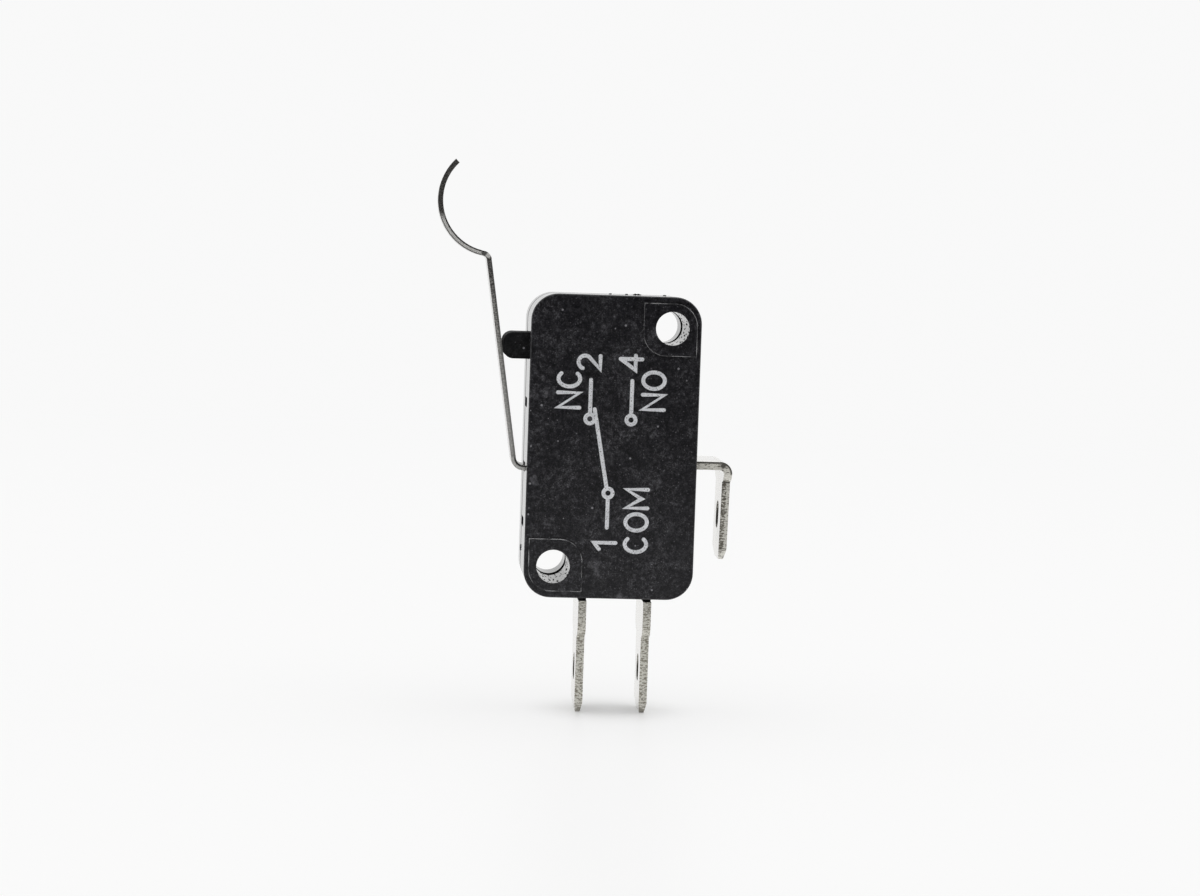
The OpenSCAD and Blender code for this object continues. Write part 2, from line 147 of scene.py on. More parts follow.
def flatten(tree, x, z):
    """The place with that X and Z, and with no depth."""
    return put(tree, "CombineXYZ", {"X": x, "Z": z}).outputs[0]


def apart(tree, flat, spot):
    """Distance in X and Z from a spot."""
    feeds = {0: flat, 1: (spot[0], 0.0, spot[1])}
    return put(tree, "VectorMath", feeds, operation="DISTANCE").outputs["Value"]


def facing(tree):
    """How far the surface faces along the object's Y, to either side, from 0 to 1."""
    return sums(tree, "ABSOLUTE", split(tree, put(tree, "TexCoord").outputs["Normal"])["Y"])


def bumped(tree, strength, depth, height, normal=None):
    """Normal of a relief of that depth in metres, laid on the plain surface or on another normal."""
    feeds = {"Strength": strength, "Distance": depth, "Height": height}
    if normal is not None:
        feeds["Normal"] = normal
    return put(tree, "Bump", feeds).outputs[0]


def new_group(name, inputs, outputs):
    """Empty shader group with named sockets. Returns its tree, its inputs and a function that closes it."""
    tree = bpy.data.node_groups.new(name, "ShaderNodeTree")
    for in_out, sockets in (("INPUT", inputs), ("OUTPUT", outputs)):
        for socket, kind in sockets.items():
            tree.interface.new_socket(socket, in_out=in_out, socket_type="NodeSocket" + kind)
    given = tree.nodes.new("NodeGroupInput").outputs
    result = tree.nodes.new("NodeGroupOutput")

    def close(**values):
        """Links the group's outputs and returns its tree."""
        for socket, value in values.items():
            tree.links.new(value, result.inputs[socket])
        return tree

    return tree, given, close


def use(tree, group, feeds):
    """Places a group in a material with its own values and returns its outputs."""
    return put(tree, "Group", feeds, node_tree=group).outputs


# In this file a noise is its features per millimetre, its octaves and its roughness. A band is the two
# values between which a mask goes from 0 to 1, or from a third number to a fourth.
BEVEL_RAYS = 6
TURNED_EDGE = (0.995, 0.86)
PATCH_DETAIL = (4.0, 0.62)
PATCHY = (0.36, 0.66)


def rub_group():
    """Rounded normal at the edges and a patchy mask along them, which the materials tint as rubbed
    corners and, round the raised pads of the mouldings, as a painted highlight.
    """
    tree, given, close = new_group(
        "edge_rub",
        {"Place": "Vector", "Radius": "Float", "Patch": "Float"},
        {"Mask": "Float", "Normal": "Vector"},
    )
    rounded = put(tree, "Bevel", {"Radius": given["Radius"]}, samples=BEVEL_RAYS).outputs[0]
    plain = put(tree, "NewGeometry").outputs["Normal"]
    same = put(tree, "VectorMath", {0: rounded, 1: plain}, operation="DOT_PRODUCT").outputs["Value"]
    patch = noise(tree, given["Place"], given["Patch"], *PATCH_DETAIL)
    mask = product(tree, ramp(tree, same, *TURNED_EDGE), ramp(tree, patch, *PATCHY))
    return close(Mask=mask, Normal=rounded)


SPECK_CORE = 0.45


def speck_mask(tree, place, scale, share, size):
    """Round specks: one in each cell of a random grid, kept in that share of cells, up to that size."""
    cell = put(tree, "TexVoronoi", {"Vector": place, "Scale": scale}, feature="F1").outputs
    lot = put(tree, "SeparateColor", {0: cell["Color"]}).outputs[0]
    reach = ramp(tree, lot, sums(tree, "SUBTRACT", 1.0, share), 1.0, 0.0, size)
    return ramp(tree, cell["Distance"], reach, product(tree, reach, SPECK_CORE))


CLOUDS = (0.33, 5.0, 0.6)
MIST = (2.8, 4.0, 0.85)
SPARK_GRAIN = (9.0, 3.0, 0.65)
STREAK_RUN = (5.0, 5.0, 0.5)
STREAKS = (1.0, 3.0, 0.7)
SMUDGES = (0.5, 2.0)
SMUDGE_GRAIN = (3.5, 4.0, 0.7)
FINE_CELLS = 4.5
FINE_KEPT = 0.6
FINE_SIZE = 0.36
FINE_SHARE = 0.3
COARSE_CELLS = 1.2
COARSE_KEPT = 0.45
COARSE_SIZE = 0.17
BROAD_FACE = (0.2, 0.8)
SEAM_DULL = (0.45, 0.3, 0.0, 0.5)
RUB_STREAK = (0.62, 0.8)
RUB_CLOUD = (0.45, 0.7)
SMUDGE_SPREAD = (0.6, 0.74)
SMUDGE_BREAKS = (0.38, 0.66)
RUB_SHARE = 0.32
MOTTLE = (0.34, 0.66, 0.1, 1.9)
HAZE_CLOUD = (0.38, 0.74, 0.35, 1.0)
HAZE_MIST = (0.4, 0.75)
HAZE_GRAIN = (0.3, 0.7, 0.15, 1.0)
HAZE_SHARE = 0.6
DUST_SHARE = 0.85
SATIN_ROUGH = (0.2, 0.8, 0.3, 0.4)
DUST_ROUGH = 0.3
DRAWN_ROUGH = (0.3, 0.7, 0.07, 0.15)
DULL_ROUGH = 0.9
DUST_HEIGHT = 0.6
DRAWN_HEIGHT = (0.0, 1.0, 0.06, 1.0)


def skin_group():
    """Moulded skin on a place in millimetres: cloudy tone, spark grain, dust specks, rubs and smudges. The
    walls that slid along the mould as it opened are drawn smooth, with a dull line of flash at the seam,
    the depth where the two halves meet."""
    tree, given, close = new_group(
        "moulded_skin",
        {"Place": "Vector", "Color": "Color", "Pale": "Color", "Dust": "Float", "Rubs": "Float",
         "Seam": "Float", "Dull": "Float"},
        {"Color": "Color", "Roughness": "Float", "Height": "Float"},
    )
    place = given["Place"]
    broad = ramp(tree, facing(tree), *BROAD_FACE)
    off_seam = off(tree, split(tree, place)["Y"], given["Seam"])
    dull = largest(tree, ramp(tree, off_seam, *SEAM_DULL), given["Dull"])
    cloud = noise(tree, place, *CLOUDS)
    grain = noise(tree, place, *SPARK_GRAIN)
    fine = speck_mask(tree, place, FINE_CELLS, product(tree, given["Dust"], FINE_KEPT), FINE_SIZE)
    coarse = speck_mask(tree, place, COARSE_CELLS, product(tree, given["Dust"], COARSE_KEPT), COARSE_SIZE)
    dust = largest(tree, product(tree, fine, FINE_SHARE), coarse)
    streak = noise(tree, stretch(tree, place, STREAK_RUN), *STREAKS)
    rubbed = product(tree, ramp(tree, streak, *RUB_STREAK), ramp(tree, cloud, *RUB_CLOUD))
    smudge = ramp(tree, noise(tree, place, *SMUDGES), *SMUDGE_SPREAD)
    smudge = product(tree, smudge, ramp(tree, noise(tree, place, *SMUDGE_GRAIN), *SMUDGE_BREAKS))
    worn = product(tree, largest(tree, rubbed, smudge), given["Rubs"])
    haze = ramp(tree, noise(tree, place, *MIST), *HAZE_MIST)
    haze = product(tree, ramp(tree, cloud, *HAZE_CLOUD), haze, ramp(tree, grain, *HAZE_GRAIN))
    tone = shade(tree, given["Color"], ramp(tree, grain, *MOTTLE))
    tone = tint(tree, product(tree, haze, given["Dust"], HAZE_SHARE), tone, given["Pale"])
    tone = tint(tree, product(tree, worn, RUB_SHARE), tone, given["Pale"])
    tone = tint(tree, product(tree, dust, DUST_SHARE), tone, given["Pale"])
    satin = total(tree, ramp(tree, cloud, *SATIN_ROUGH), product(tree, dust, DUST_ROUGH))
    drawn = total(tree, ramp(tree, grain, *DRAWN_ROUGH), product(tree, dull, DULL_ROUGH))
    height = total(tree, grain, product(tree, dust, DUST_HEIGHT))
    height = product(tree, height, ramp(tree, broad, *DRAWN_HEIGHT))
    return close(Color=tone, Roughness=between(tree, broad, drawn, satin), Height=height)


EDGE_RUB = rub_group()
SKIN = skin_group()


def new_material(name):
    """Material with one Principled BSDF. Returns it, its tree, its shader and its place in millimetres."""
    material = bpy.data.materials.new(name)
    material.use_nodes = True
    tree = material.node_tree
    place = stretch(tree, put(tree, "TexCoord").outputs["Object"], (1 / MM, 1 / MM, 1 / MM))
    return material, tree, tree.nodes["Principled BSDF"], place


def feed(tree, shader, **values):
    """Sets or links sockets of the Principled BSDF, with _ for the blanks in their names."""
    for name, value in values.items():
        join(tree, shader.inputs[name.replace("_", " ")], value)


def dress(material, *names):
    """Gives CAD nodes a material in place of the one that they came with."""
    for name in names:
        mesh = frame["nodes"][name].data
        mesh.materials.clear()
        mesh.materials.append(material)


case_low, case_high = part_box("case")
FRONT_Y = case_low.y / MM
SEAM_Y = case_high.y / MM
hole = next(mount for mount in frame["record"]["mounts"] if mount["name"] == "upper_mounting_hole")
HOLE_AT = (hole["pos_m"][0] / MM, hole["pos_m"][2] / MM)
HOLE_R = hole["dims"]["r_mm"]
PAD_PROUD = 0.15
PAD_LEVEL = (PAD_PROUD - 0.02, PAD_PROUD - 0.05)
PAD_ROUND_HOLE = (HOLE_R + 0.2, HOLE_R + 0.35)
IN_HOLE = (HOLE_R + 0.2, HOLE_R + 0.1)
SCRATCH_RUN = (1.0, 0.15, 1.0)
SCRATCHES = (5.5, 1.0)
SCRATCHED = (0.57, 0.64)


def from_hole(tree, at):
    """Distance from the axis of a mounting hole. The holes lie at the same distances from the middle on
    both sides, so the place is folded onto one quarter."""
    folded = flatten(tree, sums(tree, "ABSOLUTE", at["X"]), sums(tree, "ABSOLUTE", at["Z"]))
    return apart(tree, folded, HOLE_AT)


def pad_rim(tree, at, away, pad_y):
    """Mask of a pad's face and step, clear of the mounting hole in it."""
    level = off(tree, at["Y"], pad_y)
    return product(tree, ramp(tree, level, *PAD_LEVEL), ramp(tree, away, *PAD_ROUND_HOLE))


def bore_pits(tree, place, away):
    """Mask of the short dull scratches that the core pins leave along the mounting holes."""
    scratch = noise(tree, stretch(tree, place, SCRATCH_RUN), *SCRATCHES)
    return product(tree, ramp(tree, scratch, *SCRATCHED), ramp(tree, away, *IN_HOLE))


PALE_DUST = (0.33, 0.325, 0.35, 1.0)
# Pale of the rubbed edges, which round the raised pads is a painted highlight
PALE_RUB_AND_HIGHLIGHT = (0.74, 0.74, 0.755, 1.0)
PAD_EDGE_RADIUS = 0.12 * MM
RUB_PATCHES = 0.8
RUB_AND_HIGHLIGHT_BY_PAD = (0.0, 1.0, 0.025, 1.0)
GRAIN_DEPTH = 0.012 * MM
MOULDED_SPECULAR = 0.38


def black_moulding(name, colour, pad_y, dust, rubs, edge, grain, pits=0.0, dull=0.0):
    """Black moulded plastic: skin, a fine spark-eroded grain, and edges that are faintly rubbed pale.
    Round the raised pads at the depth pad_y the edges are painted pale, as the highlight that they catch.
    Pits is how dull the scratches in the holes are, and dull how dull all the drawn walls are."""
    material, tree, shader, place = new_material(name)
    at = split(tree, place)
    away = from_hole(tree, at)
    dull = largest(tree, dull, product(tree, bore_pits(tree, place, away), pits))
    skin = use(tree, SKIN, {
        "Place": place, "Color": colour, "Pale": PALE_DUST, "Dust": dust, "Rubs": rubs,
        "Seam": SEAM_Y, "Dull": dull,
    })
    rim = pad_rim(tree, at, away, pad_y)
    radius = total(tree, edge, product(tree, rim, PAD_EDGE_RADIUS))
    rub = use(tree, EDGE_RUB, {"Place": place, "Radius": radius, "Patch": RUB_PATCHES})
    # Pale edges: faintly rubbed away from the pads, and a painted highlight along the edges of the raised pads
    worn = product(tree, rub["Mask"], ramp(tree, rim, *RUB_AND_HIGHLIGHT_BY_PAD))
    tone = tint(tree, worn, skin["Color"], PALE_RUB_AND_HIGHLIGHT)
    normal = bumped(tree, grain, GRAIN_DEPTH, skin["Height"], rub["Normal"])
    feed(tree, shader, Base_Color=tone, Roughness=skin["Roughness"], Normal=normal,
         Specular_IOR_Level=MOULDED_SPECULAR)
    return material


CASE_BLACK = (0.0054, 0.0052, 0.0072, 1.0)
SHELL_EDGE = 0.05 * MM
SHELL_GRAIN = 0.8
case_plastic = black_moulding("case_plastic", CASE_BLACK, FRONT_Y, dust=0.9, rubs=1.0,
                              edge=SHELL_EDGE, grain=SHELL_GRAIN, pits=0.65)
dress(case_plastic, "case")

# Cover: the shallow rear half, of the same black moulding material. Two pegs and two latch tongues hold
# it to the case, and a fine reveal runs round the seam.

REAR_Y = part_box("cover")[1].y / MM
COVER_BLACK = (0.0085, 0.0082, 0.0098, 1.0)
cover_plastic = black_moulding("cover_plastic", COVER_BLACK, REAR_Y, dust=0.7, rubs=0.7,
                               edge=SHELL_EDGE, grain=SHELL_GRAIN)
dress(cover_plastic, "cover")

# Print: a plain changeover diagram and the usual contact names in white ink, stamped on the front face
# with a soft pad. It reads from the foot of the body to its top, and has pinholes and thin, grey spots.


def arc(centre, radius, start, end, steps=18):
    """Points on an ellipse's arc: centre + radius times (cos, sin) of angles from start to end degrees."""
    angle = np.radians(np.linspace(start, end, steps))
    return np.array(centre) + np.array(radius) * np.stack([np.cos(angle), np.sin(angle)], 1)


def line(*points):
    """Straight strokes through points, with no two neighbours alike."""
    return np.array(points, float)


# Each sign is its width and its strokes, both in heights of a sign
SIGNS = {
    "C": (0.72, [arc((0.36, 0.5), (0.36, 0.5), 48, 312)]),
    "O": (0.76, [arc((0.38, 0.5), (0.38, 0.5), 90, 450, 33)]),
    "M": (0.86, [line((0, 0), (0, 1), (0.43, 0.28), (0.86, 1), (0.86, 0))]),
    "N": (0.68, [line((0, 0), (0, 1), (0.68, 0), (0.68, 1))]),
    "1": (0.3, [line((0, 0.76), (0.3, 1), (0.3, 0))]),
    "2": (0.6, [np.vstack([arc((0.3, 0.7), (0.3, 0.3), 160, -38), line((0, 0), (0.6, 0))])]),
    "4": (0.66, [line((0.66, 0.3), (0, 0.3), (0.5, 1)), line((0.5, 1), (0.5, 0))]),
}
TEXT_H = 2.0
SIGN_GAP = 0.28


def words(text, at):
    """Strokes of a line of signs whose lower left corner is at that point."""
    strokes = []
    for sign in text:
        width, shapes = SIGNS[sign]
        strokes += [np.array(at) + TEXT_H * shape for shape in shapes]
        at = (at[0] + TEXT_H * (width + SIGN_GAP), at[1])
    return strokes


def closed(path):
    """Whether a path ends where it starts."""
    return np.allclose(path[0], path[-1])


FACE_Y = FRONT_Y + PAD_PROUD
INK_W = 0.36
INK_H = 0.012
INK_LIFT = 0.02 * INK_H
INK_SECTION = np.array([(-1, -0.5), (-1, 0.5), (-0.86, 1), (0.86, 1), (1, 0.5), (1, -0.5)])
END_STEPS = 4
LEAST_END = 0.02
LEAST_COSINE = 0.5


def ink_stroke(path, lift):
    """A low flat-topped ridge carried along a path. Across it the section runs out, up, over and down;
    along it the width shrinks as a half circle at each end. At a corner the side is moved out by one
    over the cosine of half the turn, so that both straights keep their width. A path that ends where
    it starts makes a closed ring, which has no ends to shrink. Reading runs along +Z, and the signs'
    tops look along -X on the front."""
    step = np.diff(path, axis=0)
    step /= np.linalg.norm(step, axis=1)[:, None]
    ring = closed(path)
    if ring:
        path, ahead, behind = path[:-1], step, np.roll(step, 1, 0)
    else:
        ahead, behind = np.vstack([step, step[-1:]]), np.vstack([step[:1], step])
    along = ahead + behind
    along /= np.linalg.norm(along, axis=1)[:, None]
    spine = path
    reach = 1 / np.maximum((along * ahead).sum(1), LEAST_COSINE)
    if not ring:
        turn = np.radians(np.linspace(90, 0, END_STEPS, endpoint=False))
        out = INK_W / 2 * np.sin(turn)[:, None]
        spine = np.vstack([path[0] - out * step[0], path, (path[-1] + out * step[-1])[::-1]])
        shrink = np.maximum(np.cos(turn), LEAST_END)
        reach = np.concatenate([shrink, reach, shrink[::-1]])
        along = np.pad(along, ((END_STEPS, END_STEPS), (0, 0)), "edge")
    across = np.stack([-along[:, 1], along[:, 0]], 1) * reach[:, None] * INK_W / 2
    flat = spine[:, None] + across[:, None] * INK_SECTION[:, :1]
    rise = np.broadcast_to(INK_SECTION[:, 1] * INK_H + lift, flat.shape[:2])
    return np.stack([-flat[..., 1], FACE_Y - rise, flat[..., 0]], 2)


def tube_faces(rings, sides, first, loop):
    """Faces of a closed skin over rings of points. It has a flat end on the first and last ring, or the
    last ring is joined to the first one to make a loop."""
    spans = rings if loop else rings - 1
    ring, side = np.meshgrid(np.arange(spans), np.arange(sides), indexing="ij")
    beside = (side + 1) % sides
    here = first + ring * sides
    there = first + (ring + 1) % rings * sides
    quads = np.stack([here + side, there + side, there + beside, here + beside], -1)
    faces = quads.reshape(-1, 4).tolist()
    if loop:
        return faces
    low = first + np.arange(sides)
    high = low[::-1] + (rings - 1) * sides
    return faces + [low.tolist(), high.tolist()]


def ridge_mesh(name, ridges, loops):
    """One mesh of closed skins over ridges, each of them rings of points in millimetres."""
    points, faces = [], []
    for ridge, loop in zip(ridges, loops):
        faces += tube_faces(len(ridge), ridge.shape[1], sum(map(len, points)), loop)
        points.append(ridge.reshape(-1, 3))
    mesh = bpy.data.meshes.new(name)
    mesh.from_pydata((np.vstack(points) * MM).tolist(), [], faces)
    mesh.update()
    return mesh


def place_piece(name, mesh, material, body):
    """Places a new piece in the scene, on its body and with its finish."""
    mesh.materials.append(material)
    made = bpy.data.objects.new(name, mesh)
    bpy.context.scene.collection.objects.link(made)
    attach(made, body)


INK_GREY = (0.76, 0.77, 0.8, 1.0)
INK_WHITE = (0.91, 0.92, 0.95, 1.0)
INK_BARE = (0.05, 0.05, 0.055, 1.0)
INK_GRAIN = (7.0, 4.0, 0.7)
INK_CLOUDS = (1.3, 3.0)
INK_PINHOLES = (0.46, 0.32)
INK_THICKER = (0.3, 0.7)
INK_ROUGH = (0.3, 0.7, 0.55, 0.75)
INK_BUMP = 0.6
INK_DEPTH = 0.01 * MM


def ink_material():
    """White pad-printing ink, thin enough that pinholes and worn spots show the black under it."""
    material, tree, shader, place = new_material("white_ink")
    grain = noise(tree, place, *INK_GRAIN)
    thick = ramp(tree, noise(tree, place, *INK_CLOUDS), *INK_THICKER)
    tone = tint(tree, thick, INK_GREY, INK_WHITE)
    tone = tint(tree, ramp(tree, grain, *INK_PINHOLES), tone, INK_BARE)
    feed(tree, shader, Base_Color=tone, Roughness=ramp(tree, grain, *INK_ROUGH),
         Normal=bumped(tree, INK_BUMP, INK_DEPTH, grain))
    return material


PIVOT = (-4.2, 0.3)
CLOSED_AT = (2.6, 2.2)
OPEN_AT = (2.6, -1.6)
RING_R = 0.42
RING_STEPS = 25
LEAD_START = -7.4
LEAD_END = 6.2
BLADE_RISE = 0.14
BLADE_PAST = 0.9
NAMES = (
    ("COM", (-9.6, -3.4)),
    ("1", (-9.4, -0.55)),
    ("NC", (3.6, 3.2)),
    ("2", (7.2, 1.4)),
    ("NO", (3.6, -4.6)),
    ("4", (7.2, -2.45)),
)


def terminal_ring(centre):
    """A small ring that stands for a terminal in the diagram."""
    return arc(centre, (RING_R, RING_R), 90, 450, RING_STEPS)


blade_foot = (PIVOT[0] + RING_R, PIVOT[1] + BLADE_RISE)
blade_tip = (CLOSED_AT[0] + BLADE_PAST, CLOSED_AT[1] - RING_R)
diagram = [
    line((LEAD_START, PIVOT[1]), (PIVOT[0] - RING_R, PIVOT[1])),
    terminal_ring(PIVOT),
    line(blade_foot, blade_tip),
    terminal_ring(CLOSED_AT),
    line((CLOSED_AT[0] + RING_R, CLOSED_AT[1]), (LEAD_END, CLOSED_AT[1])),
    terminal_ring(OPEN_AT),
    line((OPEN_AT[0] + RING_R, OPEN_AT[1]), (LEAD_END, OPEN_AT[1])),
]
for text, at in NAMES:
    diagram += words(text, at)
ink = [ink_stroke(path, number * INK_LIFT) for number, path in enumerate(diagram)]
ink_mesh = ridge_mesh("contact_diagram", ink, map(closed, diagram))
place_piece("contact_diagram", ink_mesh, ink_material(), "housing")

# Flash: thin ragged fins of moulding material that crept between the halves of the mould. They are left
# standing along the seam, on the top wall and low on the plunger side, and are as black as the case.

FIN_T = 0.06
FIN_SUNK = 0.03
FIN_STEPS = 13
FIN_MEAN = 0.75
FIN_WAVES = ((0.2, 19), (0.1, 43))
FIN_TAPER = 5
TOP_Z = case_high.z / MM
SIDE_X = case_low.x / MM
FINS = (
    ((-0.32, TOP_Z), (0.0, TOP_Z), 0.1),
    ((1.2, TOP_Z), (1.54, TOP_Z), 0.1),
    ((1.9, TOP_Z), (2.82, TOP_Z), 0.13),
    ((4.8, TOP_Z), (5.15, TOP_Z), 0.1),
    ((SIDE_X, -10.5), (SIDE_X, -9.8), 0.1),
)


def flash_fin(start, end, height):
    """A fin along a wall, between two points in X and Z. It stands out on the left of its run by height
    times a mean and a ragged sum of two sines, and shrinks to nothing at its ends. Its section is a thin
    rectangle that is sunk a little into the wall."""
    run = np.array(end) - np.array(start)
    share = np.linspace(0, 1, FIN_STEPS)
    waves = [size * np.sin(turn * share + shift) for (size, turn), shift in zip(FIN_WAVES, start)]
    taper = np.minimum(1, FIN_TAPER * np.minimum(share, 1 - share))
    rise = height * (FIN_MEAN + sum(waves)) * taper
    out = np.array((-run[1], run[0])) / np.linalg.norm(run)
    foot = np.array(start) + share[:, None] * run
    low, high = foot - FIN_SUNK * out, foot + rise[:, None] * out
    edges = [(low, SEAM_Y - FIN_T), (high, SEAM_Y - FIN_T), (high, SEAM_Y), (low, SEAM_Y)]
    return np.stack([np.insert(flat, 1, depth, axis=1) for flat, depth in edges], 1)


fins = [flash_fin(*fin) for fin in FINS]
fin_mesh = ridge_mesh("mould_flash", fins, [False] * len(fins))
place_piece("mould_flash", fin_mesh, case_plastic, "housing")

# Terminals: three tabs blanked from half-hard brass strip and plated with bright tin-grey nickel. The
# broad faces are nearly mirrors; the sheared edges keep the press marks and let warm brass through.

CUT_EDGE = (0.5, 0.8)
ROLLED_RUN = (14.0, 14.0, 0.7)
ROLLED_LINES = (1.0, 3.0, 0.6)
FACE_HAZE = (0.8, 4.0, 0.6)
TEAR_RUN = (0.6, 1.0, 1.4)
TEAR_DETAIL = (2.0, 0.7)
TEAR_MARKS = (0.42, 0.56)
FACE_TONE = (0.25, 0.75, 0.9, 1.05)
HAZE_ROUGH = (0.3, 0.7, 0.1, 0.2)
LINE_ROUGH = (0.3, 0.7, 0.0, 0.06)
CUT_ROUGH = (0.3, 0.7, 0.55, 0.38)
LINE_HEIGHT = 0.08


def strip_group():
    """Rolled and sheared strip: fine rolling lines on the broad faces, torn grain on the cut edges. Edge
    is how far the surface faces along the strip's width, which is the object's Y, and Clean makes the
    cut cleaner above zero and more torn below it."""
    tree, given, close = new_group(
        "cut_strip",
        {"Place": "Vector", "Face": "Color", "Cut": "Color", "Torn": "Color", "Grain": "Float",
         "Clean": "Float"},
        {"Color": "Color", "Roughness": "Float", "Height": "Float", "Edge": "Float"},
    )
    place = given["Place"]
    edge = ramp(tree, facing(tree), *CUT_EDGE)
    lines = noise(tree, stretch(tree, place, ROLLED_RUN), *ROLLED_LINES)
    haze = noise(tree, place, *FACE_HAZE)
    torn = noise(tree, stretch(tree, place, TEAR_RUN), given["Grain"], *TEAR_DETAIL)
    marks = ramp(tree, total(tree, torn, given["Clean"]), *TEAR_MARKS)
    cut = tint(tree, marks, given["Torn"], given["Cut"])
    face = shade(tree, given["Face"], ramp(tree, haze, *FACE_TONE))
    face_rough = total(tree, ramp(tree, haze, *HAZE_ROUGH), ramp(tree, lines, *LINE_ROUGH))
    rough = between(tree, edge, face_rough, ramp(tree, torn, *CUT_ROUGH))
    height = between(tree, edge, product(tree, lines, LINE_HEIGHT), torn)
    return close(Color=tint(tree, edge, face, cut), Roughness=rough, Height=height, Edge=edge)


STRIP = strip_group()
CORNER_PATCHES = 3.0
CUT_BUMP = 0.7
CUT_DEPTH = 0.03 * MM


def cut_strip(tree, place, corner, **finish):
    """Strip with softened corners. Returns the strip's outputs, the mask of its rubbed corners and its
    normal."""
    strip = use(tree, STRIP, {"Place": place, **finish})
    rub = use(tree, EDGE_RUB, {"Place": place, "Radius": corner, "Patch": CORNER_PATCHES})
    normal = bumped(tree, CUT_BUMP, CUT_DEPTH, strip["Height"], rub["Normal"])
    return strip, rub["Mask"], normal


# Places of the bent tab, then the bands of its marks in X, in Z and in distance from a place
low_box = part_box("nc_terminal")
bent_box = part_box("com_terminal")
TAB_T = (low_box[1].x - low_box[0].x) / MM
TAB_MID = bent_box[1].x / MM - TAB_T / 2
TAB_LEAN = math.tan(math.radians(1.0))
LEG_Z = -1.55
BEND_R = 0.75
BEND_AT = (TAB_MID - BEND_R, LEG_Z - BEND_R)
BEND_SPOT = (10.5, -1.5)
SHOULDER_Z = -3.15
OUTSIDE_WALL = (7.0, 7.8)
INNER_HALF = (0.14, -0.06)
INNER_TOP = (-3.2, -3.3)
INNER_FOOT = (-10.0, -9.6)
BEND_RIM = (0.9, 1.02)
BEND_FOOT = (-2.5, -2.2)
BEND_START = (9.9, 10.1)
LEG_RIM = (LEG_Z + 0.17, LEG_Z + 0.24)
LEG_END = (10.4, 10.2)
NECK_START = (-2.1, -2.5)
NECK_FOOT = (-3.2, -3.0)
SPOT_RIM = (0.36, 0.16)
SHOULDER_RIM = (0.1, 0.05)
NECK_CLEAN = 0.2
BENT_CLEAN = 0.07
INNER_TORN = 0.12


def bent_tab_marks(tree, x, z):
    """How clean the bent tab's cut edge is, and a mask of dark lines painted on it. The inner half of the
    blade is torn and the neck below the bend is smooth. Along the outside of the leg and of the bend the
    rolled edge is painted dark, as the dark reflection it shows. A spot on the bend is painted dark too,
    and the line of the shoulders is painted shadow."""
    middle = total(tree, product(tree, z, TAB_LEAN), TAB_MID - TAB_LEAN * BEND_AT[1])
    across = sums(tree, "SUBTRACT", x, middle)
    inner = product(tree, ramp(tree, across, *INNER_HALF), ramp(tree, z, *INNER_TOP),
                    ramp(tree, z, *INNER_FOOT))
    flat = flatten(tree, x, z)
    bend = product(tree, ramp(tree, apart(tree, flat, BEND_AT), *BEND_RIM), ramp(tree, z, *BEND_FOOT),
                   ramp(tree, x, *BEND_START))
    leg = product(tree, ramp(tree, z, *LEG_RIM), ramp(tree, x, *LEG_END))
    spot = ramp(tree, apart(tree, flat, BEND_SPOT), *SPOT_RIM)
    shoulder = ramp(tree, off(tree, z, SHOULDER_Z), *SHOULDER_RIM)
    neck = product(tree, ramp(tree, z, *NECK_START), ramp(tree, z, *NECK_FOOT))
    clean = total(tree, product(tree, neck, NECK_CLEAN), BENT_CLEAN)
    clean = sums(tree, "SUBTRACT", clean, product(tree, inner, INNER_TORN))
    outside = ramp(tree, x, *OUTSIDE_WALL)
    # Painted dark reflection along the leg and the bend, a dark spot, and painted shadow along the shoulders
    dark_lines = largest(tree, bend, leg, spot, shoulder)
    return product(tree, clean, outside), product(tree, dark_lines, outside)


NICKEL = (0.8, 0.79, 0.76, 1.0)
SHEARED_NICKEL = (0.88, 0.86, 0.785, 1.0)
TORN_BRASS = (0.16, 0.145, 0.115, 1.0)
TORN_PALE = (0.3, 0.275, 0.215, 1.0)
# Dark brass of the painted shade in the wire holes and of the dark lines painted on the bent tab
PAINTED_SHADE_BRASS = (0.05, 0.045, 0.035, 1.0)
FOOT_Z = case_low.z / MM
NECK_TOP = FOOT_Z - 0.45
LOW_END = low_box[0].z / MM
BENT_END = bent_box[0].z / MM
LOWER_TABS = (7.0, 6.0)
LOW_TIP = (LOW_END + 0.9, LOW_END + 0.2)
TAB_GRAIN = 5.2
TAB_CORNER = 0.05 * MM
LOW_CLEAN = 0.02
TIP_SHADE_TORN = 0.12
WIRE_HOLE = (1.3, 1.0)
HOLE_RISE = (4.7, 4.1, 0.25, 1.0)
WAIST_SHADE_FOOT = (NECK_TOP - 0.03, NECK_TOP + 0.02)
WAIST_SHADE_TOP = (FOOT_Z + 0.6, FOOT_Z + 0.2)
WAIST_SHADE_ROUGH = 0.6
CORNER_SHARE = 0.3
HOLE_SHADE_SHARE = 0.9
DARK_LINE_SHARE = 0.92
CUT_METALLIC = (0.0, 1.0, 1.0, 0.1)


